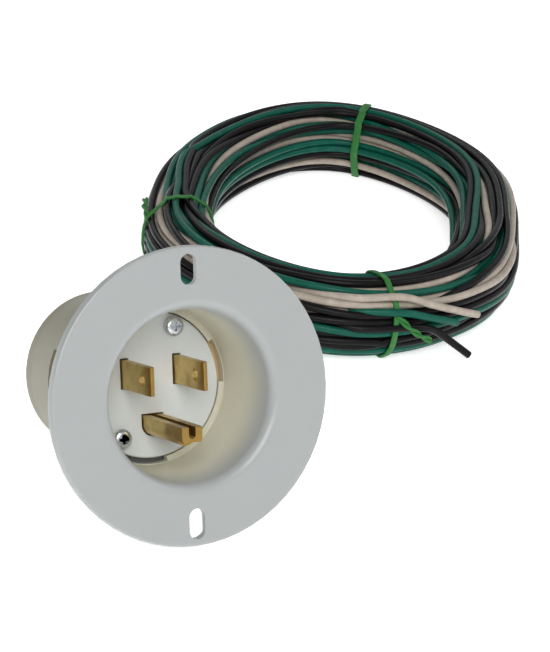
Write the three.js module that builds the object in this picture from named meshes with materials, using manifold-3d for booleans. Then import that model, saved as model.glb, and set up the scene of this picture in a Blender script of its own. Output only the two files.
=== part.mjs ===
// A round flanged power inlet, tilted back on its flange rim and the edge of its rear cover, with its three
// pre-wired leads wound into one tied oval coil on the same surface.
import * as THREE from "three";
import { mergeVertices } from "three/addons/utils/BufferGeometryUtils.js";
import Module from "manifold-3d";

const wasm = await Module();
wasm.setup();

// ---- Driving dimensions, millimetres ----
// Inlet frame: +X right and +Y up the face, seen from in front; +Z out of the cup; z = 0 on the flange face.
const GAP = 0.3; // clearance kept between neighbouring pieces
const ROUND = 60; // facets of a large turned piece

const FLANGE_R = 32.75;
const FLANGE_T = 3;
const RIM_BEVEL = 0.8;
const SLOT = { width: 3.8, length: 6.8, radius: 27.7 };
const SLOT_RECESS = { width: 6.4, length: 8.4, radius: 27.1, skin: 1.6 }; // in the flange's back

const CUP = { mouthR: 19, floorR: 17.9, depth: 21.9, outerR: 20.8, lip: 2.4 };
const SKIRT_END = -26.5;
const FLOOR_RING = { innerR: 16.7, thickness: 1.9, notchR: 17.75 };
const FLOOR_NOTCHES = [[-3, 30], [117, 150], [247, 281]]; // start and end angle of each arc notch, degrees

const CARRIER = { faceR: 16.4, faceZ: -21.7, shoulderR: 19, shoulderZ: -24.1, backZ: -26 };

const BLADE_SPACING = 12.7;
const BLADE_LINE_Y = 3.1;
const BLADE = { width: 6.35, thickness: 1.5, tipZ: -6.7, holeR: 1.35, holeFromTip: 4 };
const GROUND = { radius: 2.4, y: -8.8, tipZ: -1, backFromCentre: 2.2, channel: 1.6 };
const GROUND_UNDERCUT = { fromCentre: 1.2, length: 3.5 };

const TAB = { inner: 11.2, outer: 12.7, halfWidth: 4.4, frontZ: -26.3, backZ: -36 };
const SCREW_Z = -31.5;
const TERMINAL_SCREW = { shankR: 2.05, headR: 3.5, headT: 2.3, tipX: 4.4 };
const CLAMP = { inner: 7.5, outer: 9.3, halfWidth: 3.9, frontZ: -28.4, backZ: -35 };

const WIRE_R = 1; // over the insulation
const CONDUCTOR = { r: 0.65, x: 10.25, y: 3, frontZ: -28.6, backZ: -37.7 };

const BODY = { frontZ: -26.8, backZ: -47, frontR: 19.6, backR: 18.5, wall: 2.1 };
const WINDOW = { frontZ: -27.8, backZ: -35.2, halfWidth: 5 };
const PARTITION_T = 1.2;
const POST_R = 2.9;

const COVER = { frontZ: -47.3, backZ: -51.3, r: 18.3, edge: 0.6 };
const WIRE_HOLE = { r: 1.4, collarR: 2.9, collarZ: -52.5 };
const ASSEMBLY_SCREWS = { upper: [5.7, 12.8], lower: [-7.8, -11.3] };
const ASSEMBLY = { shankR: 1.4, holeR: 1.7, headR: 2.25, headT: 1.5, tipZ: -50.9 };
const NUT = { r: 3, bore: 1.7, frontZ: -49, backZ: -51, pocketR: 3.4 };

// The leads and their coil, in the frame of the whole part: +Z up from the surface it lies on.
// The coil's middle line is the closed uniform cubic B-spline over these points.
const COIL_LINE = [
  [152, 203.5], [93.5, 170], [72.5, 138], [53, 99.5],
  [76, 47.5], [129.5, 65.5], [149, 101], [174.5, 141.5],
];
const COIL = { halfWidth: 9.3, bottom: 1.2, top: 20.4, squareness: 2.4, steps: 48, sides: 14 };
const TIE = { thickness: 0.8, width: 2, sides: 24, stubR: 0.7 };
// Where each tie crosses the coil line, counted in line points, at the inside and the outside of the coil;
// the angle round the bundle at which its twisted ends leave the band, and the route of those ends.
const TIES = {
  back: { places: [7.76, 7.8], stubAngle: 25, stub: [[158.9, 192.6, 15.9], [157.3, 195.3, 15.9]] },
  left: { places: [2.39, 2.5], stubAngle: 40, stub: [[55.6, 125.4, 16.6], [58.2, 131, 17]] },
  front: { places: [4.24, 4.25], stubAngle: 10, stub: [[95.6, 44.7, 10], [101, 45, 6.9]] },
};

const LEAD_ROUTES = {
  black: [
    [-9.6, 40, 12.7], [-7.6, 47.5, 9.6], [-3, 56, 6], [4, 64, 3.1], [11.5, 71.5, 1.6], [20, 77.5, 1.1],
    [29, 81, 1.1], [39, 81.3, 1.1], [47.8, 79, 1.1], [54.8, 75, 1.1], [59.4, 71.2, 1.1], [62.2, 66.6, 1.1],
  ],
  green: [
    [3.4, 37, 3.7], [4.6, 46, 1.9], [8, 56, 1.1], [13.5, 66, 1.1], [20.5, 73, 1.1], [28.5, 77.4, 1.1],
    [38.2, 78, 1.1], [46.2, 76.2, 1.1], [52.4, 73, 1.1], [57, 69.4, 1.1], [60, 65.2, 1.1],
  ],
  white: [
    [10.5, 40, 12.5], [11.6, 48, 9.2], [14.5, 57, 5.4], [19.5, 65, 2.6], [24.6, 70.5, 1.3], [31, 74.2, 1.1],
    [38, 75.2, 1.1], [45.2, 73.6, 1.1], [50.8, 70.4, 1.1], [54.8, 67, 1.1], [58, 62.8, 1.1],
  ],
};
const TAIL_ROUTES = {
  white: [
    [93.7, 48, 18.3], [100.9, 47.4, 16], [107.7, 48.3, 13.7], [113.6, 50.2, 11.5], [119, 52.6, 9.4],
  ],
  green: [[93.9, 46.2, 14.6], [100.9, 46.7, 12.6], [106.2, 47.6, 11], [110.5, 48.9, 9.4]],
  black: [[98.5, 46, 10.3], [103.3, 46.9, 8.5], [108.6, 47, 4.9], [113.9, 46.2, 1.1]],
};

// ---- Materials ----
const material = (color, roughness, metalness = 0) =>
  new THREE.MeshStandardMaterial({ color, roughness, metalness });
const FLANGE_NYLON = material(0xdcdedb, 0.42);
const CARRIER_NYLON = material(0xd3d8d8, 0.45);
const BODY_NYLON = material(0xb9b49f, 0.5);
const BRASS = material(0xb08b45, 0.32, 1);
const ZINC = material(0xb9c0c4, 0.3, 1);
const GREEN_STEEL = material(0x2e7a4a, 0.4, 0.8);
const COPPER = material(0xb5703f, 0.35, 1);
const INSULATION = {
  black: material(0x201c1e, 0.5),
  white: material(0xc9bcab, 0.5),
  green: material(0x146450, 0.5),
};
const TIE_GREEN = material(0x2f8a3f, 0.6);

// ---- Solids ----
// A closed manifold solid from a three.js geometry, with its faces turned outward.
function solid(geometry) {
  const bare = geometry.clone();
  bare.deleteAttribute("normal");
  bare.deleteAttribute("uv");
  const merged = mergeVertices(bare, 1e-4);
  const index = merged.index.array;
  const triangles = [];
  for (let i = 0; i < index.length; i += 3) {
    const [a, b, c] = index.subarray(i, i + 3);
    if (a !== b && b !== c && c !== a) triangles.push([a, b, c]);
  }
  const made = (list) =>
    new wasm.Manifold(
      new wasm.Mesh({
        numProp: 3,
        vertProperties: new Float32Array(merged.attributes.position.array),
        triVerts: new Uint32Array(list.flat()),
      }),
    );
  const first = made(triangles);
  return first.volume() < 0 ? made(triangles.map(([a, b, c]) => [a, c, b])) : first;
}

const join = (...geometries) => geometries.map(solid).reduce((whole, piece) => whole.add(piece));
const cut = (body, ...geometries) =>
  geometries.map(solid).reduce((rest, piece) => rest.subtract(piece), body);

function mesh(name, body, look) {
  const { vertProperties, triVerts } = body.getMesh();
  const geometry = new THREE.BufferGeometry();
  geometry.setAttribute("position", new THREE.BufferAttribute(vertProperties, 3));
  geometry.setIndex(new THREE.BufferAttribute(triVerts, 1));
  geometry.computeVertexNormals();
  const made = new THREE.Mesh(geometry, look);
  made.name = name;
  return made;
}

// A body of revolution about Z from [radius, z] pairs.
const turned = (profile, facets = ROUND) =>
  new THREE.LatheGeometry(profile.map(([r, z]) => new THREE.Vector2(r, z)), facets).rotateX(Math.PI / 2);

const rodZ = (r, z0, z1, x = 0, y = 0, sides = 16) =>
  new THREE.CylinderGeometry(r, r, Math.abs(z1 - z0), sides)
    .rotateX(Math.PI / 2)
    .translate(x, y, (z0 + z1) / 2);

const rodX = (r, x0, x1, y, z, sides = 16) =>
  new THREE.CylinderGeometry(r, r, Math.abs(x1 - x0), sides)
    .rotateZ(Math.PI / 2)
    .translate((x0 + x1) / 2, y, z);

const block = ([x0, x1], [y0, y1], [z0, z1]) =>
  new THREE.BoxGeometry(Math.abs(x1 - x0), Math.abs(y1 - y0), Math.abs(z1 - z0)).translate(
    (x0 + x1) / 2,
    (y0 + y1) / 2,
    (z0 + z1) / 2,
  );

// A flat outline in the XY plane raised from z0 to z1.
function raised(outline, z0, z1) {
  const settings = { depth: z1 - z0, bevelEnabled: false, curveSegments: 6 };
  return new THREE.ExtrudeGeometry(outline, settings).translate(0, 0, z0);
}

// The points of a quarter round from one angle to another, for turned profiles.
function arcPoints(centreR, centreZ, radius, fromDeg, toDeg, count) {
  return Array.from({ length: count + 1 }, (_, i) => {
    const angle = THREE.MathUtils.degToRad(fromDeg + ((toDeg - fromDeg) * i) / count);
    return [centreR + radius * Math.cos(angle), centreZ + radius * Math.sin(angle)];
  });
}

// A round-ended slot that runs along Y, above or below the axis.
function slotOutline(side, { width, length, radius = 0 }) {
  const half = (length - width) / 2;
  const outline = new THREE.Shape();
  outline.absarc(0, side * radius + half, width / 2, 0, Math.PI, false);
  outline.absarc(0, side * radius - half, width / 2, Math.PI, 2 * Math.PI, false);
  return outline;
}

function arcBand(innerR, outerR, [fromDeg, toDeg]) {
  const [from, to] = [fromDeg, toDeg].map(THREE.MathUtils.degToRad);
  const outline = new THREE.Shape();
  outline.absarc(0, 0, outerR, from, to, false);
  outline.absarc(0, 0, innerR, to, from, true);
  return outline;
}

function crossRecess(x, y, top, depth) {
  const [long, short] = [1.15, 0.28];
  return [
    block([x - long, x + long], [y - short, y + short], [top - depth, top + 1]),
    block([x - short, x + short], [y - long, y + long], [top - depth, top + 1]),
  ];
}

// ---- Flange, cup and contact carrier ----
function flangeHousing() {
  const lipR = CUP.mouthR + CUP.lip;
  const floorZ = -CUP.depth;
  const ringBack = floorZ - FLOOR_RING.thickness;
  const profile = [
    [FLOOR_RING.innerR, floorZ],
    [CUP.floorR - 0.4, floorZ],
    [CUP.floorR, floorZ + 0.4],
    ...arcPoints(lipR, -CUP.lip, CUP.lip, 180, 90, 6),
    [FLANGE_R - RIM_BEVEL, 0],
    [FLANGE_R - RIM_BEVEL * 0.3, -RIM_BEVEL * 0.3],
    [FLANGE_R, -RIM_BEVEL],
    [FLANGE_R, RIM_BEVEL - FLANGE_T],
    [FLANGE_R - RIM_BEVEL, -FLANGE_T],
    [CUP.outerR + 1.5, -FLANGE_T],
    [CUP.outerR + 0.4, -FLANGE_T - 0.4],
    [CUP.outerR, -FLANGE_T - 1.5],
    [CUP.outerR, SKIRT_END],
    [CARRIER.shoulderR + GAP, SKIRT_END],
    [CARRIER.shoulderR + GAP, ringBack],
    [FLOOR_RING.innerR, ringBack],
    [FLOOR_RING.innerR, floorZ],
  ];
  const slots = [1, -1].flatMap((side) => [
    raised(slotOutline(side, SLOT), -FLANGE_T - 1, 1),
    raised(slotOutline(side, SLOT_RECESS), -FLANGE_T - 1, -SLOT_RECESS.skin),
  ]);
  const notches = FLOOR_NOTCHES.map((span) =>
    raised(arcBand(FLOOR_RING.innerR - 1, FLOOR_RING.notchR, span), ringBack - 1, floorZ + 1),
  );
  return cut(join(turned(profile)), ...slots, ...notches);
}

// The U of the ground pin about (centreX, 0), its open side towards the axis, grown by a margin.
function groundOutline(centreX, margin) {
  const r = GROUND.radius + margin;
  const back = centreX - GROUND.backFromCentre - margin;
  const outline = new THREE.Shape();
  outline.moveTo(back, -r);
  outline.lineTo(centreX, -r);
  outline.absarc(centreX, 0, r, -Math.PI / 2, Math.PI / 2, false);
  outline.lineTo(back, r);
  return outline;
}

function contactCarrier() {
  const profile = [
    [0, CARRIER.faceZ],
    [CARRIER.faceR - 0.3, CARRIER.faceZ],
    [CARRIER.faceR, CARRIER.faceZ - 0.3],
    [CARRIER.faceR, CARRIER.shoulderZ],
    [CARRIER.shoulderR, CARRIER.shoulderZ],
    [CARRIER.shoulderR, CARRIER.backZ],
    [0, CARRIER.backZ],
  ];
  const through = [CARRIER.backZ - 1, CARRIER.faceZ + 1];
  const bladeSlots = [1, -1].map((side) => {
    const x = (side * BLADE_SPACING) / 2;
    const halfT = BLADE.thickness / 2 + GAP;
    const halfW = BLADE.width / 2 + GAP;
    return block([x - halfT, x + halfT], [BLADE_LINE_Y - halfW, BLADE_LINE_Y + halfW], through);
  });
  const groundHole = raised(groundOutline(-GROUND.y, GAP), ...through).rotateZ(-Math.PI / 2);
  const screwHoles = Object.values(ASSEMBLY_SCREWS).map(([x, y]) => rodZ(ASSEMBLY.holeR, ...through, x, y));
  return cut(join(turned(profile)), ...bladeSlots, groundHole, ...screwHoles);
}

// ---- Contacts and terminals: +X is radial here, outward from the inlet's axis ----
// The foot and the tab that every contact has behind the carrier, from a given inner edge.
function footAndTab(fromX, halfWidth) {
  const t = BLADE.thickness;
  return [
    block([fromX, TAB.outer], [-halfWidth, halfWidth], [TAB.frontZ - t, TAB.frontZ]),
    block([TAB.inner, TAB.outer], [-TAB.halfWidth, TAB.halfWidth], [TAB.backZ, TAB.frontZ - t * 0.5]),
  ];
}

const tabHole = () => rodX(TERMINAL_SCREW.shankR + 0.35, TAB.inner - 1, TAB.outer + 1, 0, SCREW_Z);

function blade() {
  const inner = (BLADE_SPACING - BLADE.thickness) / 2;
  const outer = inner + BLADE.thickness;
  const bevel = 0.35;
  const side = new THREE.Shape([
    new THREE.Vector2(inner, TAB.frontZ - 0.5),
    new THREE.Vector2(outer, TAB.frontZ - 0.5),
    new THREE.Vector2(outer, BLADE.tipZ - 1),
    new THREE.Vector2(outer - bevel, BLADE.tipZ),
    new THREE.Vector2(inner + bevel, BLADE.tipZ),
    new THREE.Vector2(inner, BLADE.tipZ - 1),
  ]);
  const strip = raised(side, -BLADE.width / 2, BLADE.width / 2).rotateX(Math.PI / 2);
  const hole = rodX(BLADE.holeR, inner - 1, outer + 1, 0, BLADE.tipZ - BLADE.holeFromTip);
  return cut(join(strip, ...footAndTab(inner, BLADE.width / 2)), hole, tabHole());
}

function groundPin() {
  const centre = -GROUND.y;
  const back = centre - GROUND.backFromCentre;
  const half = GROUND.channel / 2;
  const pin = raised(groundOutline(centre, 0), TAB.frontZ - 0.5, GROUND.tipZ);
  const channel = raised(slotOutline(1, { width: GROUND.channel, length: 6 }), TAB.frontZ, GROUND.tipZ + 1)
    .rotateZ(Math.PI / 2)
    .translate(centre + half / 2 - 3, 0, 0);
  const undercut = block(
    [centre + GROUND_UNDERCUT.fromCentre, centre + 5],
    [-5, 5],
    [GROUND.tipZ - GROUND_UNDERCUT.length, GROUND.tipZ + 1],
  );
  const whole = join(pin, ...footAndTab(back, GROUND.radius));
  return cut(whole, channel, undercut, tabHole());
}

function terminalScrew() {
  const under = TAB.outer + GAP;
  const top = under + TERMINAL_SCREW.headT;
  const bevel = 0.5;
  const head = turned([
    [0, under],
    [TERMINAL_SCREW.headR, under],
    [TERMINAL_SCREW.headR, top - bevel],
    [TERMINAL_SCREW.headR - bevel, top],
    [0, top],
  ], 20);
  const shank = rodZ(TERMINAL_SCREW.shankR, TERMINAL_SCREW.tipX, under + 0.5);
  const slot = block([-5, 5], [-0.45, 0.45], [top - 1.1, top + 1]);
  const cross = block([-0.45, 0.45], [-2, 2], [top - 1.1, top + 1]);
  const toRadial = (geometry) => geometry.rotateY(Math.PI / 2).translate(0, 0, SCREW_Z);
  return cut(join(toRadial(head), toRadial(shank)), toRadial(slot), toRadial(cross));
}

function clampPlate() {
  const plate = block(
    [CLAMP.inner, CLAMP.outer],
    [-CLAMP.halfWidth, CLAMP.halfWidth],
    [CLAMP.backZ, CLAMP.frontZ],
  );
  const hole = rodX(TERMINAL_SCREW.shankR + 0.35, CLAMP.inner - 1, CLAMP.outer + 1, 0, SCREW_Z);
  return cut(join(plate), hole);
}

const conductorEnd = (side) =>
  join(rodZ(CONDUCTOR.r, CONDUCTOR.backZ, CONDUCTOR.frontZ, CONDUCTOR.x, side * CONDUCTOR.y, 12));

// ---- Rear body, cover and assembly screws ----
// Each terminal: its angle about the inlet's axis, how far its frame sits up the face, and its wire's side.
const TERMINALS = {
  hot: { angle: Math.PI, y: BLADE_LINE_Y, side: 1, contact: "hot_blade", wire: "black" },
  neutral: { angle: 0, y: BLADE_LINE_Y, side: -1, contact: "neutral_blade", wire: "white" },
  ground: { angle: -Math.PI / 2, y: 0, side: 1, contact: "ground_pin", wire: "green" },
};

// Moves a geometry made in a terminal's frame to its place in the inlet's frame.
const atTerminal = ({ angle, y }, geometry) => geometry.rotateZ(angle).translate(0, y, 0);

function wireHole(terminal, r, z0, z1) {
  return atTerminal(terminal, rodZ(r, z0, z1, CONDUCTOR.x, terminal.side * CONDUCTOR.y));
}

function rearBody() {
  const { frontZ, backZ, frontR, backR, wall } = BODY;
  const shell = turned([
    [frontR, frontZ],
    [frontR, frontZ - 1.2],
    [backR, backZ],
    [backR - wall, backZ],
    [frontR - wall, frontZ - 1.2],
    [frontR - wall, frontZ],
    [frontR, frontZ],
  ]);
  const inside = [backZ, frontZ - 0.4];
  const reach = backR - wall / 2;
  const halfT = PARTITION_T / 2;
  const partitions = [90, 225, 315].map((deg) =>
    block([-halfT, reach], [-halfT, halfT], inside).rotateZ(THREE.MathUtils.degToRad(deg)),
  );
  const posts = Object.values(ASSEMBLY_SCREWS).map(([x, y]) => rodZ(POST_R, ...inside, x, y));
  const windowRadii = [frontR - wall - 3, frontR + 2];
  const windowWidth = [-WINDOW.halfWidth, WINDOW.halfWidth];
  const windows = Object.values(TERMINALS).map((terminal) =>
    atTerminal(terminal, block(windowRadii, windowWidth, [WINDOW.backZ, WINDOW.frontZ])),
  );
  const bores = Object.values(ASSEMBLY_SCREWS).map(([x, y]) =>
    rodZ(ASSEMBLY.holeR, backZ - 1, frontZ + 1, x, y),
  );
  return cut(join(shell, ...partitions, ...posts), ...windows, ...bores);
}

function rearCover() {
  const { frontZ, backZ, r, edge } = COVER;
  const { collarR, collarZ } = WIRE_HOLE;
  const disc = turned([[0, frontZ], [r, frontZ], [r, backZ + edge], [r - edge, backZ], [0, backZ]]);
  const terminals = Object.values(TERMINALS);
  const collars = terminals.map((terminal) => wireHole(terminal, collarR, collarZ, frontZ - 1));
  const holes = terminals.map((terminal) => wireHole(terminal, WIRE_HOLE.r, collarZ - 1, frontZ + 1));
  const screws = Object.values(ASSEMBLY_SCREWS);
  const pockets = screws.map(([x, y]) => rodZ(NUT.pocketR, backZ - 1, NUT.frontZ + GAP, x, y, 6));
  const bores = screws.map(([x, y]) => rodZ(ASSEMBLY.holeR, backZ - 1, frontZ + 1, x, y));
  return cut(join(disc, ...collars), ...holes, ...pockets, ...bores);
}

function assemblyScrew([x, y]) {
  const under = CARRIER.faceZ + GAP;
  const top = under + ASSEMBLY.headT;
  const head = turned([
    [0, under],
    [ASSEMBLY.headR, under],
    [ASSEMBLY.headR, under + 0.7],
    [ASSEMBLY.headR - 0.35, under + 1.2],
    [ASSEMBLY.headR - 1, top],
    [0, top],
  ], 20).translate(x, y, 0);
  const shank = rodZ(ASSEMBLY.shankR, ASSEMBLY.tipZ, under + 0.3, x, y);
  return cut(join(head, shank), ...crossRecess(x, y, top, 0.9));
}

const assemblyNut = ([x, y]) =>
  cut(
    join(rodZ(NUT.r, NUT.backZ, NUT.frontZ, x, y, 6)),
    rodZ(NUT.bore, NUT.backZ - 1, NUT.frontZ + 1, x, y),
  );

// ---- The inlet as a group, tilted back until rim and cover edge rest on the surface ----
const TILT = Math.atan2(
  FLANGE_R - COVER.r,
  RIM_BEVEL - FLANGE_T - (COVER.backZ + COVER.edge),
);

function inletGroup() {
  const inlet = new THREE.Group();
  inlet.add(
    mesh("flange_housing", flangeHousing(), FLANGE_NYLON),
    mesh("contact_carrier", contactCarrier(), CARRIER_NYLON),
    mesh("rear_body", rearBody(), BODY_NYLON),
    mesh("rear_cover", rearCover(), BODY_NYLON),
  );
  for (const [place, centre] of Object.entries(ASSEMBLY_SCREWS)) {
    inlet.add(mesh(`assembly_screw_${place}`, assemblyScrew(centre), ZINC));
    inlet.add(mesh(`assembly_nut_${place}`, assemblyNut(centre), ZINC));
  }
  const screwLook = { hot: BRASS, neutral: ZINC, ground: GREEN_STEEL };
  for (const [name, terminal] of Object.entries(TERMINALS)) {
    const frame = new THREE.Group();
    frame.rotation.z = terminal.angle;
    frame.position.y = terminal.y;
    frame.add(
      mesh(terminal.contact, name === "ground" ? groundPin() : blade(), BRASS),
      mesh(`${name}_terminal_screw`, terminalScrew(), screwLook[name]),
      mesh(`${name}_clamp_plate`, clampPlate(), BRASS),
      mesh(`${name}_conductor_end`, conductorEnd(terminal.side), COPPER),
    );
    inlet.add(frame);
  }
  inlet.rotation.x = Math.PI / 2 - TILT;
  inlet.updateMatrixWorld(true);
  const box = new THREE.Box3().setFromObject(inlet, true);
  const middle = box.getCenter(new THREE.Vector3());
  inlet.position.set(-middle.x, -middle.y, -box.min.z);
  inlet.updateMatrixWorld(true);
  return inlet;
}

// ---- Leads, coil and ties ----
const vector = (point) => new THREE.Vector3(...point);

function tube(points, radius, stepLength) {
  const path = new THREE.CatmullRomCurve3(points);
  const section = new THREE.Shape();
  section.absarc(0, 0, radius, 0, 2 * Math.PI, false);
  return join(
    new THREE.ExtrudeGeometry(section, {
      extrudePath: path,
      steps: Math.ceil(path.getLength() / stepLength),
      bevelEnabled: false,
      curveSegments: 4,
    }),
  );
}

// The points of one lead from inside the cover, straight out of its hole, and on along its route.
function leadPoints(terminal, inlet) {
  const local = atTerminal(terminal, rodZ(WIRE_R, -1, 1, CONDUCTOR.x, terminal.side * CONDUCTOR.y));
  local.computeBoundingBox();
  const { x, y } = local.boundingBox.getCenter(new THREE.Vector3());
  const straight = [CONDUCTOR.backZ - 2 * GAP, COVER.frontZ, WIRE_HOLE.collarZ, WIRE_HOLE.collarZ - 5];
  return [
    ...straight.map((z) => new THREE.Vector3(x, y, z).applyMatrix4(inlet.matrixWorld)),
    ...LEAD_ROUTES[terminal.wire].map(vector),
  ];
}

// A point of the coil line; place counts line points.
function coilPoint(place) {
  const count = COIL_LINE.length;
  const start = Math.floor(place);
  const t = place - start;
  const near = [-1, 0, 1, 2].map((k) => COIL_LINE[(start + k + count) % count]);
  const weights = [(1 - t) ** 3, 3 * t ** 3 - 6 * t ** 2 + 4, -3 * t ** 3 + 3 * t ** 2 + 3 * t + 1, t ** 3];
  return [0, 1].map((i) => near.reduce((sum, point, k) => sum + (point[i] * weights[k]) / 6, 0));
}

// The coil line's point, direction and outward side at a place.
function coilFrame(place) {
  const [x, y] = coilPoint(place);
  const [x1, y1] = coilPoint(place + 0.01);
  const length = Math.hypot(x1 - x, y1 - y);
  const along = [(x1 - x) / length, (y1 - y) / length];
  return { x, y, along, outward: [along[1], -along[0]] };
}

// The bundle's section: a squared-off ellipse, as [sideways, up] from its centre, grown by a margin.
function sectionPoint(angle, margin) {
  const half = (COIL.top - COIL.bottom) / 2;
  const bend = (value) => Math.sign(value) * Math.abs(value) ** (2 / COIL.squareness);
  return [(COIL.halfWidth + margin) * bend(Math.cos(angle)), (half + margin) * bend(Math.sin(angle))];
}

const COIL_MIDDLE = (COIL.top + COIL.bottom) / 2;

// A closed ring from rows of points: row i joins row i + 1, and the last row joins the first.
function ringSolid(rows) {
  const wide = rows[0].length;
  const index = [];
  for (let i = 0; i < rows.length; i += 1) {
    for (let j = 0; j < wide; j += 1) {
      const next = ((i + 1) % rows.length) * wide;
      const [a, b] = [i * wide + j, i * wide + ((j + 1) % wide)];
      const [c, d] = [next + j, next + ((j + 1) % wide)];
      index.push(a, c, b, b, c, d);
    }
  }
  const geometry = new THREE.BufferGeometry();
  geometry.setAttribute("position", new THREE.Float32BufferAttribute(rows.flat(2), 3));
  geometry.setIndex(index);
  return join(geometry);
}

function wireCoil() {
  const rows = Array.from({ length: COIL.steps }, (_, i) => {
    const { x, y, outward } = coilFrame((i * COIL_LINE.length) / COIL.steps);
    return Array.from({ length: COIL.sides }, (_, j) => {
      const [side, up] = sectionPoint((j * 2 * Math.PI) / COIL.sides, 0);
      return [x + outward[0] * side, y + outward[1] * side, COIL_MIDDLE + up];
    });
  });
  return ringSolid(rows);
}

// A flat band round the bundle, with its twisted ends; its place runs from the coil's inside to its outside.
function tie({ places: [inside, outside], stubAngle, stub }) {
  const near = GAP + 0.1;
  const half = TIE.width / 2;
  const corner = (angle, margin, shift) => {
    const place = (inside + outside) / 2 + ((outside - inside) / 2) * Math.cos(angle);
    const { x, y, along, outward } = coilFrame(place);
    const [side, up] = sectionPoint(angle, margin);
    const flat = [0, 1].map((i) => [x, y][i] + outward[i] * side + along[i] * shift);
    return [...flat, COIL_MIDDLE + up];
  };
  const rows = Array.from({ length: TIE.sides }, (_, i) => {
    const angle = (i * 2 * Math.PI) / TIE.sides;
    const far = near + TIE.thickness;
    const corners = [[near, -half], [far, -half], [far, half], [near, half]];
    return corners.map(([margin, shift]) => corner(angle, margin, shift));
  });
  const stubStart = corner(THREE.MathUtils.degToRad(stubAngle), near + TIE.stubR, 0);
  return ringSolid(rows).add(tube([stubStart, ...stub].map(vector), TIE.stubR, 3));
}

// ---- The whole part ----
const part = new THREE.Group();
const inlet = inletGroup();
part.add(inlet);

const LEAD_STEP = 4.5;
const TAIL_STEP = 4;
for (const terminal of Object.values(TERMINALS)) {
  const look = INSULATION[terminal.wire];
  part.add(
    mesh(`${terminal.wire}_lead`, tube(leadPoints(terminal, inlet), WIRE_R, LEAD_STEP), look),
    mesh(`${terminal.wire}_tail`, tube(TAIL_ROUTES[terminal.wire].map(vector), WIRE_R, TAIL_STEP), look),
  );
}
part.add(mesh("wire_coil", wireCoil(), INSULATION.black));
for (const [place, shape] of Object.entries(TIES)) {
  part.add(mesh(`coil_tie_${place}`, tie(shape), TIE_GREEN));
}

export default part;
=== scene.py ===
"""Looks for the flanged power inlet and its tied coil of leads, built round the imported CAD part."""

import math

import bpy
import numpy as np
from mathutils import Matrix, Vector


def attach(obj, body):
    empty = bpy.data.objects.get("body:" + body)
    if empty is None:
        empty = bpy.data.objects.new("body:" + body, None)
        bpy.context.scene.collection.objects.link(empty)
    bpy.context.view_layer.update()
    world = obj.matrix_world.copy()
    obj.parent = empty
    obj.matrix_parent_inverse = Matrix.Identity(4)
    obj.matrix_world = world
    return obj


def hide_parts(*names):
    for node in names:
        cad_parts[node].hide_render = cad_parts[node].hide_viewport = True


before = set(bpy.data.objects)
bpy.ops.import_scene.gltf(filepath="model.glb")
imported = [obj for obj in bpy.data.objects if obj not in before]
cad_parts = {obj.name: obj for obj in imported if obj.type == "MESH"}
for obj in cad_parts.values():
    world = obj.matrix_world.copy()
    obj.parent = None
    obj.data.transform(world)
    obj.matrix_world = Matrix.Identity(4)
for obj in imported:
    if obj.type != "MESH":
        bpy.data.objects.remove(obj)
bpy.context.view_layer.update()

MM = 0.001
BODY = "housing"

# ---- Camera ----
CAMERA_AT = (-0.24061, -0.49199, 0.26700)
CAMERA_RIGHT = Vector((0.8905, -0.4440, 0.0997)).normalized()
CAMERA_FORWARD = Vector((0.4465, 0.8102, -0.3797)).normalized()
CAMERA_LENS = 148.24


def make_camera():
    data = bpy.data.cameras.new("camera")
    data.lens = CAMERA_LENS
    data.sensor_width = 36
    data.clip_start = 0.01
    data.clip_end = 20
    camera = bpy.data.objects.new("camera", data)
    bpy.context.scene.collection.objects.link(camera)
    up = CAMERA_RIGHT.cross(CAMERA_FORWARD)
    right = CAMERA_FORWARD.cross(up)
    turn = Matrix((right, up, -CAMERA_FORWARD)).transposed()
    camera.matrix_world = Matrix.Translation(CAMERA_AT) @ turn.to_4x4()
    bpy.context.scene.camera = camera


make_camera()

# ---- The inlet's own frame: +X across and +Y up its face, +Z out of its cup, zero on the flange face ----
TILT = math.radians(16.5908)
INLET_AT = Vector((0, -22.5477, 32.0147)) * MM
INLET = Matrix.Translation(INLET_AT) @ Matrix.Rotation(math.pi / 2 - TILT, 4, "X")


def inlet_point(x, y, z):
    return INLET @ (Vector((x, y, z)) * MM)


# ---- Materials ----
def new_material(name):
    material = bpy.data.materials.new(name)
    material.use_nodes = True
    nodes = material.node_tree.nodes
    return material, nodes, material.node_tree.links, nodes["Principled BSDF"]


def noise(nodes, links, scale, detail=3.0, stretch=None):
    """A noise texture in the row frame; stretch is the scale on each axis."""
    coordinates = nodes.new("ShaderNodeTexCoord")
    texture = nodes.new("ShaderNodeTexNoise")
    texture.inputs["Scale"].default_value = scale
    texture.inputs["Detail"].default_value = detail
    source = coordinates.outputs["Object"]
    if stretch:
        mapping = nodes.new("ShaderNodeMapping")
        mapping.inputs["Scale"].default_value = stretch
        links.new(source, mapping.inputs["Vector"])
        source = mapping.outputs["Vector"]
    links.new(source, texture.inputs["Vector"])
    return texture.outputs["Fac"]


def ramp(nodes, links, factor, stops):
    """A colour ramp over factor, from (position, rgb) stops."""
    made = nodes.new("ShaderNodeValToRGB")
    elements = made.color_ramp.elements
    while len(elements) < len(stops):
        elements.new(0.5)
    for element, (position, colour) in zip(elements, stops):
        element.position = position
        element.color = (*colour, 1)
    links.new(factor, made.inputs["Fac"])
    return made.outputs["Color"]


def scaled(nodes, links, factor, low, high):
    """factor, mostly between 0.3 and 0.7, spread over low to high."""
    made = nodes.new("ShaderNodeMapRange")
    made.inputs["From Min"].default_value = 0.3
    made.inputs["From Max"].default_value = 0.7
    made.inputs["To Min"].default_value = low
    made.inputs["To Max"].default_value = high
    links.new(factor, made.inputs["Value"])
    return made.outputs["Result"]


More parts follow.
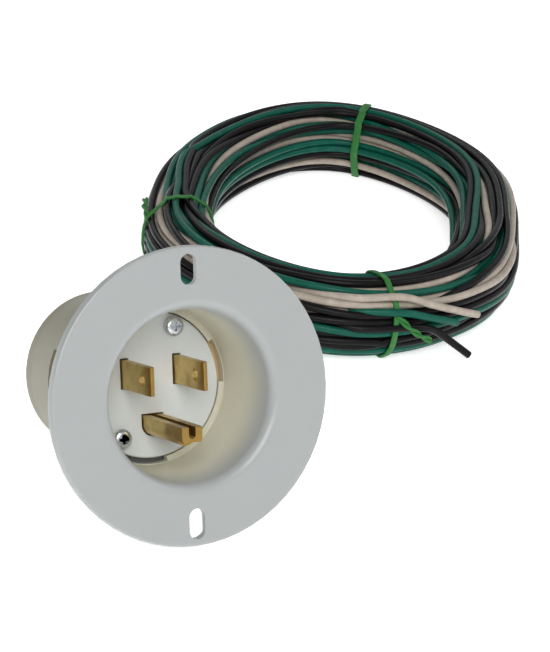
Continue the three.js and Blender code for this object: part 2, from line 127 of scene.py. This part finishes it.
def bump(nodes, links, shader, height, strength, distance):
    made = nodes.new("ShaderNodeBump")
    made.inputs["Strength"].default_value = strength
    made.inputs["Distance"].default_value = distance
    links.new(height, made.inputs["Height"])
    links.new(made.outputs["Normal"], shader.inputs["Normal"])


def shade(colour, by):
    return tuple(min(1.0, channel * by) for channel in colour)


def moulded(name, colour, roughness, tint=0.05, grain=0.06, subsurface=0.0):
    """Moulded plastic: faint flow mottling, uneven sheen and a fine skin texture."""
    material, nodes, links, shader = new_material(name)
    mottle = noise(nodes, links, 70, 4)
    tones = [(0.3, shade(colour, 1 - tint)), (0.7, shade(colour, 1 + tint))]
    links.new(ramp(nodes, links, mottle, tones), shader.inputs["Base Color"])
    sheen = noise(nodes, links, 160, 3)
    uneven = scaled(nodes, links, sheen, roughness - 0.02, roughness + 0.03)
    links.new(uneven, shader.inputs["Roughness"])
    skin = noise(nodes, links, 2200, 2)
    bump(nodes, links, shader, skin, grain, 0.05 * MM)
    if subsurface:
        shader.inputs["Subsurface Weight"].default_value = subsurface
        shader.inputs["Subsurface Radius"].default_value = (1, 0.85, 0.65)
        shader.inputs["Subsurface Scale"].default_value = 1.2 * MM
    return material


def depth_in_cup(nodes, links, deep, shallow):
    """0 at deep and 1 at shallow, in millimetres in front of the flange face."""
    coordinates = nodes.new("ShaderNodeTexCoord")
    axis = INLET.col[2].to_3d()
    along = nodes.new("ShaderNodeVectorMath")
    along.operation = "DOT_PRODUCT"
    along.inputs[1].default_value = axis
    links.new(coordinates.outputs["Object"], along.inputs[0])
    made = nodes.new("ShaderNodeMapRange")
    made.interpolation_type = "SMOOTHSTEP"
    origin = INLET_AT.dot(axis)
    made.inputs["From Min"].default_value = origin + deep * MM
    made.inputs["From Max"].default_value = origin + shallow * MM
    links.new(along.outputs["Value"], made.inputs["Value"])
    return made.outputs["Result"]


def mixed(nodes, links, blend, factor, first, second):
    """Two colours mixed by a factor; each input is a socket or an rgb value."""
    mix = nodes.new("ShaderNodeMix")
    mix.data_type = "RGBA"
    mix.blend_type = blend
    for socket, value in ((mix.inputs[0], factor), (mix.inputs[6], first), (mix.inputs[7], second)):
        if isinstance(value, bpy.types.NodeSocket):
            links.new(value, socket)
        else:
            socket.default_value = value if isinstance(value, (int, float)) else (*value, 1)
    return mix.outputs[2]


def tinted(material, deep_tone, near_tone, deep, shallow):
    """Multiplies a material's colour by a tone that runs from deep_tone at deep to near_tone at shallow."""
    nodes, links = material.node_tree.nodes, material.node_tree.links
    colour = nodes["Principled BSDF"].inputs["Base Color"]
    plain = colour.links[0].from_socket
    depth = depth_in_cup(nodes, links, deep, shallow)
    tone = mixed(nodes, links, "MIX", depth, deep_tone, near_tone)
    links.new(mixed(nodes, links, "MULTIPLY", 1, plain, tone), colour)


def notch_painted_glow_and_shade(material):
    """Paints light and shade on the carrier's shoulder, seen through the floor ring's notches: an amber
    painted glow of light through the nylon on the right, painted grey shade elsewhere.
    """
    nodes, links = material.node_tree.nodes, material.node_tree.links
    colour = nodes["Principled BSDF"].inputs["Base Color"]
    plain = colour.links[0].from_socket
    coordinates = nodes.new("ShaderNodeTexCoord")
    split = nodes.new("ShaderNodeSeparateXYZ")
    links.new(coordinates.outputs["Object"], split.inputs["Vector"])
    right = nodes.new("ShaderNodeMapRange")
    right.inputs["From Min"].default_value = 8 * MM
    right.inputs["From Max"].default_value = 12 * MM
    links.new(split.outputs["X"], right.inputs["Value"])
    # painted shade and light: grey for the shade in the notches, amber for light glowing through the nylon on
    # the right
    grey, amber = (0.12, 0.12, 0.12), (0.70, 0.46, 0.20)
    shoulder = mixed(nodes, links, "MIX", right.outputs["Result"], grey, amber)
    depth = depth_in_cup(nodes, links, -23.6, -22.6)
    links.new(mixed(nodes, links, "MIX", depth, shoulder, plain), colour)


def metal(name, colour, roughness, tarnish, stretch, scratch=0.12):
    """Bare or plated metal: patches of tarnish and fine drawn lines along one axis."""
    material, nodes, links, shader = new_material(name)
    shader.inputs["Metallic"].default_value = 1
    patches = noise(nodes, links, 260, 5)
    tones = [(0.28, tarnish), (0.5, colour), (0.75, shade(colour, 1.15))]
    links.new(ramp(nodes, links, patches, tones), shader.inputs["Base Color"])
    lines = noise(nodes, links, 900, 4, stretch)
    uneven = scaled(nodes, links, lines, roughness - 0.07, roughness + 0.12)
    links.new(uneven, shader.inputs["Roughness"])
    bump(nodes, links, shader, lines, scratch, 0.03 * MM)
    return material


def insulation(name, colour, dust, roughness, shine=0.2):
    """Extruded wire insulation: faint scuffs that lighten it, and a slightly uneven skin."""
    material, nodes, links, shader = new_material(name)
    scuffs = noise(nodes, links, 420, 6)
    tones = [(0.4, shade(colour, 0.88)), (0.58, colour), (0.78, dust)]
    links.new(ramp(nodes, links, scuffs, tones), shader.inputs["Base Color"])
    sheen = noise(nodes, links, 700, 3)
    uneven = scaled(nodes, links, sheen, roughness - 0.06, roughness + 0.1)
    links.new(uneven, shader.inputs["Roughness"])
    skin = noise(nodes, links, 1500, 3)
    bump(nodes, links, shader, skin, 0.08, 0.06 * MM)
    shader.inputs["Specular IOR Level"].default_value = shine
    return material


UNCHANGED = (1, 1, 1)
CUP_PAINTED_GLOW = (1.85, 1.72, 1.4)  # painted light: the cup's wall is painted warm and bright, a painted glow behind the flange face
DARK_TIP = (0.66, 0.56, 0.44)  # the contacts are darker beyond the hole near their tips
FLANGE_NYLON = moulded("flange_nylon", (0.328, 0.342, 0.338), 0.31, 0.01, 0.012, 0.25)
# painted light: the flange's cup wall is painted brighter and warmer deeper than 0.6 mm, fully so past 13 mm
tinted(FLANGE_NYLON, CUP_PAINTED_GLOW, UNCHANGED, -13, -0.6)
CARRIER_NYLON = moulded("carrier_nylon", (0.62, 0.645, 0.64), 0.34, 0.01, 0.012, 0.25)
# painted light and shade on the carrier's shoulder where it shows through the notches
notch_painted_glow_and_shade(CARRIER_NYLON)
# partly painted shade: the rear body's own ivory colour, darkened for the shade it lies in behind the flange
BODY_NYLON_SHADED = moulded("body_nylon", (0.225, 0.212, 0.150), 0.42, 0.03, 0.08, 0.15)
BLADE_BRASS = metal("blade_brass", (0.60, 0.44, 0.16), 0.36, (0.40, 0.26, 0.08), (1, 12, 12))
tinted(BLADE_BRASS, UNCHANGED, DARK_TIP, -11.5, -8)
SCREW_BRASS = metal("screw_brass", (0.66, 0.47, 0.20), 0.28, (0.42, 0.26, 0.09), (6, 6, 6))
ZINC = metal("zinc", (0.66, 0.70, 0.74), 0.26, (0.45, 0.49, 0.52), (6, 6, 6))
SCREW_GREEN = metal("screw_green", (0.07, 0.33, 0.16), 0.34, (0.04, 0.18, 0.09), (6, 6, 6))
COPPER = metal("copper", (0.75, 0.38, 0.22), 0.30, (0.48, 0.20, 0.10), (1, 14, 14))
WIRE_LOOKS = {
    "black": insulation("wire_black", (0.0065, 0.0055, 0.006), (0.011, 0.009, 0.010), 0.32, 0.12),
    "white": insulation("wire_white", (0.38, 0.325, 0.27), (0.44, 0.385, 0.325), 0.42),
    "green": insulation("wire_green", (0.004, 0.086, 0.057), (0.008, 0.115, 0.078), 0.36, 0.15),
}
TIE_GREEN = insulation("tie_green", (0.03, 0.16, 0.035), (0.06, 0.22, 0.07), 0.45)

# ---- The leads: each is one wire from its terminal, through the coil, to its free tail ----
WIRE_R = 1.0
WIRES = ("black", "white", "green")
WIRE_HOLES = {"black": (-10.25, 0.1), "white": (10.25, 0.1), "green": (3.0, -10.25)}
STRAIGHT_Z = (-38.3, -47.3, -52.5, -57.5)

LEAD_ROUTES = {
    "black": [
        (-9.6, 40, 12.7), (-7.6, 47.5, 9.6), (-3, 56, 6), (4, 64, 3.1),
        (11.5, 71.5, 1.6), (20, 77.5, 1.1), (29, 81, 1.1), (39, 81.3, 1.1),
        (47.8, 79, 1.1), (54.8, 75, 1.1), (59.4, 71.2, 1.1), (62.2, 66.6, 1.1),
    ],
    "green": [
        (3.4, 37, 3.7), (4.6, 46, 1.9), (8, 56, 1.1), (13.5, 66, 1.1), (20.5, 73, 1.1), (28.5, 77.4, 1.1),
        (38.2, 78, 1.1), (46.2, 76.2, 1.1), (52.4, 73, 1.1), (57, 69.4, 1.1), (60, 65.2, 1.1),
    ],
    "white": [
        (10.5, 40, 12.5), (11.6, 48, 9.2), (14.5, 57, 5.4),
        (19.5, 65, 2.6), (24.6, 70.5, 1.3), (31, 74.2, 1.1),
        (38, 75.2, 1.1), (45.2, 73.6, 1.1), (50.8, 70.4, 1.1), (54.8, 67, 1.1), (58, 62.8, 1.1),
    ],
}
TAIL_ROUTES = {
    "white": [
        (93.7, 48, 18.3), (100.9, 47.4, 16), (107.7, 48.3, 13.7), (113.6, 50.2, 11.5), (119, 52.6, 9.4),
    ],
    "green": [(93.9, 46.2, 14.6), (100.9, 46.7, 12.6), (106.2, 47.6, 11), (110.5, 48.9, 9.4)],
    "black": [(98.5, 46, 10.3), (103.3, 46.9, 8.5), (108.6, 47, 4.9), (113.9, 46.2, 1.1)],
}

# The coil's middle line is the closed uniform cubic B-spline over these points.
COIL_LINE = np.array([
    (152, 203.5), (93.5, 170), (72.5, 138), (53, 99.5),
    (76, 47.5), (129.5, 65.5), (149, 101), (174.5, 141.5),
])
TURNS = 22
PER_POINT = 12  # stations between two line points
STATIONS = PER_POINT * len(COIL_LINE)
FIRST_STATION = 44
TAIL_STATION = 50
LAST_STATION = TAIL_STATION + STATIONS * TURNS
BUNDLE_HALF = np.array((9.9, 10.4))
BUNDLE_MIDDLE = 10.4
SQUARENESS = 2.4
SEED = 11
WANDER_START = 5
WANDER_STEP = 4.2
WANDER_REACH = (8.5, 9)
TRIPLET_R = 1.6  # how far each wire starts from the middle of its triplet
TRIPLET_TURNS = 0.37  # turns the triplet makes about itself in one turn of the coil
LOOSE_STATIONS = 5  # how far from the coil's two ends a strand may stand out sideways
LOOSENESS = 0.6
FLOOR_CLEAR = 0.08
ROUNDS = 420
LATE = 0.7  # share of the rounds after which the strands are only settled
PUSH = 0.34
EARLY = {"spacing": 1.06, "smoothing": 0.55}
SETTLING = {"spacing": 1.0, "smoothing": 0.35}
HOLD_IN = {"black": 1.12, "white": 0.64, "green": 1.0}  # how far out in the bundle each wire keeps


def coil_frame(place):
    """Points on the coil line, the directions along it and outward; place counts line points."""
    place = np.atleast_1d(np.asarray(place, float))

    def point(at):
        start = np.floor(at).astype(int)
        t = (at - start)[:, None]
        near = [COIL_LINE[(start + k) % len(COIL_LINE)] for k in (-1, 0, 1, 2)]
        weights = ((1 - t) ** 3, 3 * t**3 - 6 * t**2 + 4, -3 * t**3 + 3 * t**2 + 3 * t + 1, t**3)
        return sum(p * w for p, w in zip(near, weights)) / 6

    here = point(place)
    along = point(place + 0.01) - here
    along /= np.linalg.norm(along, axis=1)[:, None]
    return here, along, np.stack([along[:, 1], -along[:, 0]], axis=1)


def placed(place, offsets):
    """Row-frame points, in millimetres, of (outward, up) offsets from the bundle's middle."""
    here, _, outward = coil_frame(place)
    flat = here + outward * offsets[:, :1]
    return np.column_stack([flat, BUNDLE_MIDDLE + offsets[:, 1]])


def offset_of(point, station):
    """The (outward, up) offset of a row-frame point at a station."""
    here, _, outward = coil_frame(station / PER_POINT)
    return np.array([(np.array(point[:2]) - here[0]) @ outward[0], point[2] - BUNDLE_MIDDLE])


def wander(rng, count):
    """One wire triplet's slow random walk through the bundle: count (outward, up) offsets."""
    every = STATIONS // 3
    steps = count // every + 3
    walk = np.zeros((steps, 2))
    at = rng.uniform(-1, 1, 2) * WANDER_START
    for i in range(steps):
        at = at + rng.normal(0, WANDER_STEP, 2)
        reach = np.linalg.norm(at / WANDER_REACH)
        if reach > 1:
            at = at / reach * rng.uniform(0.8, 1)
        walk[i] = at
    where = np.arange(count) / every
    i = where.astype(int)
    t = (where - i)[:, None]
    ease = t * t * (3 - 2 * t)
    return walk[i] * (1 - ease) + walk[i + 1] * ease


def station_table(count):
    """For each station of one turn, the indices of every pass of a wire through it, padded with -1."""
    station = (np.arange(count) + FIRST_STATION) % STATIONS
    passes = [np.flatnonzero(station == s) for s in range(STATIONS)]
    table = np.full((STATIONS, max(len(row) for row in passes)), -1)
    for row, indices in zip(table, passes):
        row[: len(indices)] = indices
    return table


def first_offsets(count):
    """Each wire's starting offsets: three wires turning about one wandering line, pinned at both ends."""
    triplet = wander(np.random.default_rng(SEED), count)
    turn = np.arange(count) / STATIONS * 2 * math.pi * TRIPLET_TURNS
    offsets = np.zeros((len(WIRES), count, 2))
    for w, wire in enumerate(WIRES):
        phase = turn + w * 2 * math.pi / 3
        circle = np.stack([np.cos(phase), np.sin(phase)], axis=1)
        offsets[w] = triplet * HOLD_IN[wire] + TRIPLET_R * circle
        offsets[w, 0] = offset_of(LEAD_ROUTES[wire][-1], FIRST_STATION - 1)
        offsets[w, -1] = offset_of(TAIL_ROUTES[wire][0], LAST_STATION + 1)
    return offsets


def bundle_half(count):
    """The bundle's half size at each index, wider sideways where the wires come in and go out."""
    index = np.arange(count)
    ends = np.minimum(index, count - 1 - index)
    loose = np.clip(1 - ends / LOOSE_STATIONS, 0, 1)
    return (BUNDLE_HALF - WIRE_R)[None, :] * (1 + LOOSENESS * loose[:, None] * (1, 0))


def wind_coil():
    """Every wire's offsets at each station. The strands are pushed apart until they lie beside each other."""
    count = LAST_STATION - FIRST_STATION + 1
    offsets = first_offsets(count)
    ends = offsets[:, [0, -1]].copy()
    table = station_table(count)
    there = table >= 0
    widest = table.shape[1]
    strands = widest * len(WIRES)
    both = there[:, :, None] & there[:, None, :]
    usable = np.tile(both, (1, len(WIRES), len(WIRES))) & ~np.eye(strands, dtype=bool)
    half = bundle_half(count)
    for k in range(ROUNDS):
        stage = SETTLING if k > ROUNDS * LATE else EARLY
        apart = 2 * WIRE_R * stage["spacing"]
        rows = offsets[:, table].transpose(1, 0, 2, 3).reshape(STATIONS, strands, 2)
        gap = rows[:, :, None] - rows[:, None]
        far = np.sqrt((gap**2).sum(-1)) + 1e-6
        push = np.where(usable & (far < apart), (apart - far) / far, 0)
        move = (gap * push[..., None]).sum(2) * PUSH
        move = move.reshape(STATIONS, len(WIRES), widest, 2).transpose(1, 0, 2, 3)
        for w in range(len(WIRES)):
            offsets[w, table[there]] += move[w][there]
        bend = np.zeros_like(offsets)
        bend[:, 1:-1] = (offsets[:, 2:] + offsets[:, :-2]) / 2 - offsets[:, 1:-1]
        offsets += bend * stage["smoothing"]
        size = (np.abs(offsets / half) ** SQUARENESS).sum(-1) ** (1 / SQUARENESS)
        offsets /= np.maximum(size, 1)[..., None]
        offsets[..., 1] = np.maximum(offsets[..., 1], WIRE_R + FLOOR_CLEAR - BUNDLE_MIDDLE)
        offsets[:, [0, -1]] = ends
    return offsets


def smooth_path(points, step):
    """Points a step apart on the centripetal Catmull-Rom curve through points."""
    p = np.asarray(points, float)
    p = np.vstack([2 * p[0] - p[1], p, 2 * p[-1] - p[-2]])
    made = []
    for a, b, c, d in zip(p, p[1:], p[2:], p[3:]):
        count = max(1, round(float(np.linalg.norm(c - b)) / step))
        knots = np.cumsum([0, *(np.sqrt(np.linalg.norm(v - u)) for u, v in ((a, b), (b, c), (c, d)))])
        t = knots[1] + (knots[2] - knots[1]) * np.arange(count)[:, None] / count
        k0, k1, k2, k3 = knots
        ab = a * (k1 - t) / (k1 - k0) + b * (t - k0) / (k1 - k0)
        bc = b * (k2 - t) / (k2 - k1) + c * (t - k1) / (k2 - k1)
        cd = c * (k3 - t) / (k3 - k2) + d * (t - k2) / (k3 - k2)
        abc = ab * (k2 - t) / (k2 - k0) + bc * (t - k0) / (k2 - k0)
        bcd = bc * (k3 - t) / (k3 - k1) + cd * (t - k1) / (k3 - k1)
        made.append(abc * (k2 - t) / (k2 - k1) + bcd * (t - k1) / (k2 - k1))
    return np.vstack([*made, p[-2]])


def wire_points(wire, offsets):
    x, y = WIRE_HOLES[wire]
    straight = [inlet_point(x, y, z) / MM for z in STRAIGHT_Z]
    stations = np.arange(FIRST_STATION, LAST_STATION + 1) / PER_POINT
    coil = placed(stations, offsets)
    rest = np.vstack([straight, LEAD_ROUTES[wire], coil[1:-1], TAIL_ROUTES[wire]])
    line = smooth_path(rest, 2.0)
    line[:, 2] = np.maximum(line[:, 2], WIRE_R + 0.02)
    return line


def curve_object(name, points, radius, material, resolution=3):
    curve = bpy.data.curves.new(name, "CURVE")
    curve.dimensions = "3D"
    curve.bevel_depth = radius
    curve.bevel_resolution = resolution
    curve.use_fill_caps = True
    spline = curve.splines.new("POLY")
    spline.points.add(len(points) - 1)
    spline.points.foreach_set("co", np.column_stack([points, np.ones(len(points))]).ravel())
    spline.use_smooth = True
    curve.materials.append(material)
    made = bpy.data.objects.new(name, curve)
    bpy.context.scene.collection.objects.link(made)
    return made


coil_offsets = wind_coil()
wire_lines = {wire: wire_points(wire, coil_offsets[w]) for w, wire in enumerate(WIRES)}
wires = {}
for wire, line in wire_lines.items():
    wires[wire] = curve_object(f"{wire}_wire", line * MM, WIRE_R * MM, WIRE_LOOKS[wire])
    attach(wires[wire], BODY)
    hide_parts(f"{wire}_lead", f"{wire}_tail", "wire_coil")


# ---- Meshes from rings of points ----
def mesh_object(name, points, faces, material):
    mesh = bpy.data.meshes.new(name)
    mesh.from_pydata([tuple(p) for p in points], [], faces)
    mesh.materials.append(material)
    mesh.polygons.foreach_set("use_smooth", [True] * len(mesh.polygons))
    made = bpy.data.objects.new(name, mesh)
    bpy.context.scene.collection.objects.link(made)
    return made


def ring_faces(rings, around, closed, first=0):
    """Quads between neighbouring rings of points, and caps on an open row of rings."""
    faces = []
    for i in range(rings if closed else rings - 1):
        a, b = first + i * around, first + ((i + 1) % rings) * around
        faces += [(a + j, a + (j + 1) % around, b + (j + 1) % around, b + j) for j in range(around)]
    if not closed:
        faces.append(tuple(first + j for j in reversed(range(around))))
        faces.append(tuple(first + (rings - 1) * around + j for j in range(around)))
    return faces


# ---- Ties ----
TIE_HALF_THICK = 0.35
TIES = {
    "back": {
        "places": (7.76, 7.8), "half_width": 1.15,
        "stub_angle": 25, "stub": [(158.9, 192.6, 15.9), (157.3, 195.3, 15.9)],
    },
    "left": {
        "places": (2.39, 2.5), "half_width": 0.85,
        "stub_angle": 40, "stub": [(55.6, 125.4, 16.6), (58.2, 131, 17)],
    },
    "front": {
        "places": (4.24, 4.25), "half_width": 0.8,
        "stub_angle": 10, "stub": [(95.6, 44.7, 10), (101, 45, 6.9)],
    },
}


def strands_near(place):
    """The offsets of every strand that passes a place."""
    station = round(place * PER_POINT) % STATIONS
    count = coil_offsets.shape[1]
    here = [i for i in range(count) if (i + FIRST_STATION) % STATIONS == station]
    return coil_offsets[:, here].reshape(-1, 2)


def twisted_pair(start, route, radius):
    """Points and faces of two thin strands twisted round each other along a route."""
    line = smooth_path([start, *route], 0.35)
    points, faces = [], []
    around = 8
    along = np.gradient(line, axis=0)
    along /= np.linalg.norm(along, axis=1)[:, None]
    side = np.cross(along, (0, 0, 1.0))
    side /= np.linalg.norm(side, axis=1)[:, None]
    up = np.cross(side, along)
    for strand in (0, 1):
        first = len(points)
        for i, centre in enumerate(line):
            turn = i * 0.24 + strand * math.pi
            middle = centre + radius * (math.cos(turn) * side[i] + math.sin(turn) * up[i])
            for j in range(around):
                a = 2 * math.pi * j / around
                points.append(middle + radius * (math.cos(a) * side[i] + math.sin(a) * up[i]))
        faces += ring_faces(len(line), around, False, first)
    return points, faces


def make_tie(name, places, half_width, stub_angle, stub):
    inside, outside = places
    strands = strands_near((inside + outside) / 2)
    clear = WIRE_R + 0.05
    rings = 96
    corners = 12
    points = []
    stub_start = None
    for i in range(rings):
        angle = 2 * math.pi * i / rings
        normal = np.array((math.cos(angle), math.sin(angle)))
        held = strands[int(np.argmax(strands @ normal))]
        place = (inside + outside) / 2 + (outside - inside) / 2 * math.cos(angle)
        _, along, outward = coil_frame(place)
        outward3 = np.array((*outward[0], 0.0)) * normal[0] + np.array((0, 0, 1.0)) * normal[1]
        along3 = np.array((*along[0], 0.0))
        centre = placed(place, (held + normal * (clear + TIE_HALF_THICK))[None])[0]
        for j in range(corners):
            a = 2 * math.pi * j / corners
            across = half_width * math.copysign(abs(math.cos(a)) ** 0.6, math.cos(a))
            out = TIE_HALF_THICK * math.copysign(abs(math.sin(a)) ** 0.6, math.sin(a))
            points.append(centre + across * along3 + out * outward3)
        if stub_start is None and angle >= math.radians(stub_angle):
            stub_start = centre
    faces = ring_faces(rings, corners, True)
    extra, extra_faces = twisted_pair(stub_start, [np.array(p, float) for p in stub], 0.45)
    shift = len(points)
    faces += [tuple(v + shift for v in face) for face in extra_faces]
    points = np.array([*points, *extra])
    points[:, 2] = np.maximum(points[:, 2], 0.02)
    tie = mesh_object(f"tie_{name}", points * MM, faces, TIE_GREEN)
    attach(tie, BODY)
    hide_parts(f"coil_tie_{name}")
    return tie


ties = [make_tie(name, **shape) for name, shape in TIES.items()]


# ---- Copper at the cut end of each tail ----
def make_core(wire):
    """Seven round strands, cut flush and standing a hair proud of the insulation."""
    line = wire_lines[wire]
    end, before = line[-1], line[-2]
    along = (end - before) / np.linalg.norm(end - before)
    side = np.cross(along, (0, 0, 1.0))
    side /= np.linalg.norm(side)
    up = np.cross(side, along)
    strand_r, around = 0.21, 10
    centres = [(0.0, 0.0)]
    for a in np.radians(np.arange(0, 360, 60)):
        centres.append((2 * strand_r * math.cos(a), 2 * strand_r * math.sin(a)))
    points, faces = [], []
    for cx, cy in centres:
        first = len(points)
        for out, r in ((-0.6, strand_r), (0.14, strand_r), (0.18, strand_r * 0.8)):
            for j in range(around):
                a = 2 * math.pi * j / around
                points.append(end + along * out + side * (cx + r * math.cos(a)) + up * (cy + r * math.sin(a)))
        faces += ring_faces(3, around, False, first)
    core = mesh_object(f"{wire}_core", np.array(points) * MM, faces, COPPER)
    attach(core, BODY)
    return core


cores = {wire: make_core(wire) for wire in WIRES}

for wire in WIRES:
    line = wire_lines[wire]
    length = float(np.linalg.norm(np.diff(line, axis=0), axis=1).sum()) * MM
    print(f"{wire} wire is {length:.3f} m long")

# ---- CAD nodes: softened edges and real materials ----
NODE_LOOKS = {
    "flange_housing": (FLANGE_NYLON, 0.25),
    "contact_carrier": (CARRIER_NYLON, 0.2),
    "rear_body": (BODY_NYLON_SHADED, 0.3),
    "rear_cover": (BODY_NYLON_SHADED, 0.3),
    "assembly_screw_upper": (ZINC, 0.1),
    "assembly_screw_lower": (ZINC, 0.1),
    "assembly_nut_upper": (ZINC, 0.15),
    "assembly_nut_lower": (ZINC, 0.15),
    "hot_blade": (BLADE_BRASS, 0.12),
    "neutral_blade": (BLADE_BRASS, 0.12),
    "ground_pin": (BLADE_BRASS, 0.15),
    "hot_terminal_screw": (SCREW_BRASS, 0.12),
    "neutral_terminal_screw": (ZINC, 0.12),
    "ground_terminal_screw": (SCREW_GREEN, 0.12),
    "hot_clamp_plate": (SCREW_BRASS, 0.15),
    "neutral_clamp_plate": (SCREW_BRASS, 0.15),
    "ground_clamp_plate": (SCREW_BRASS, 0.15),
    "hot_conductor_end": (COPPER, 0.05),
    "neutral_conductor_end": (COPPER, 0.05),
    "ground_conductor_end": (COPPER, 0.05),
}


def soften(node, width):
    """Rounds a CAD node's sharp edges and smooths its turned faces, by modifiers alone."""
    node.data.polygons.foreach_set("use_smooth", [True] * len(node.data.polygons))
    weld = node.modifiers.new("weld", "WELD")
    weld.merge_threshold = 0.002 * MM
    flat = node.modifiers.new("flat", "DECIMATE")
    flat.decimate_type = "DISSOLVE"
    flat.angle_limit = math.radians(0.5)
    bevel = node.modifiers.new("bevel", "BEVEL")
    bevel.width = width * MM
    bevel.segments = 2
    bevel.limit_method = "ANGLE"
    bevel.angle_limit = math.radians(28)
    bevel.use_clamp_overlap = True
    normals = node.modifiers.new("normals", "WEIGHTED_NORMAL")
    normals.keep_sharp = False
    normals.weight = 80


for name, (look, width) in NODE_LOOKS.items():
    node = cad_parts[name]
    node.data.materials.clear()
    node.data.materials.append(look)
    soften(node, width)


# ---- Floor and light ----
def make_floor():
    material, nodes, links, shader = new_material("floor")
    shader.inputs["Base Color"].default_value = (0.93, 0.93, 0.93, 1)
    shader.inputs["Roughness"].default_value = 0.9
    shader.inputs["Specular IOR Level"].default_value = 0.1
    shader.inputs["Emission Color"].default_value = (1, 1, 1, 1)
    shader.inputs["Emission Strength"].default_value = 0.6
    half, top = 3, -0.02 * MM
    corners = [(-half, -half, top), (half, -half, top), (half, half, top), (-half, half, top)]
    floor = mesh_object("floor", corners, [(0, 1, 2, 3)], material)


def area_light(name, at, target, size, power, colour=(1, 1, 1)):
    data = bpy.data.lights.new(name, "AREA")
    data.shape = "DISK"
    data.size = size
    data.energy = power
    data.color = colour
    light = bpy.data.objects.new(name, data)
    bpy.context.scene.collection.objects.link(light)
    light.location = at
    light.rotation_euler = (Vector(target) - Vector(at)).to_track_quat("-Z", "Y").to_euler()


make_floor()
TARGET = (0.05, 0.04, 0.02)
area_light("key", (-0.45, -1.0, 0.85), TARGET, 0.9, 13)
area_light("fill", (0.9, -0.5, 0.7), TARGET, 0.9, 3)
area_light("back", (0.2, 1.1, 0.9), TARGET, 0.9, 2.5)

world = bpy.data.worlds.new("world")
world.use_nodes = True
world.node_tree.nodes["Background"].inputs["Color"].default_value = (0.95, 0.98, 1.0, 1)
world.node_tree.nodes["Background"].inputs["Strength"].default_value = 0.42
bpy.context.scene.world = world
bpy.context.scene.view_settings.view_transform = "Standard"
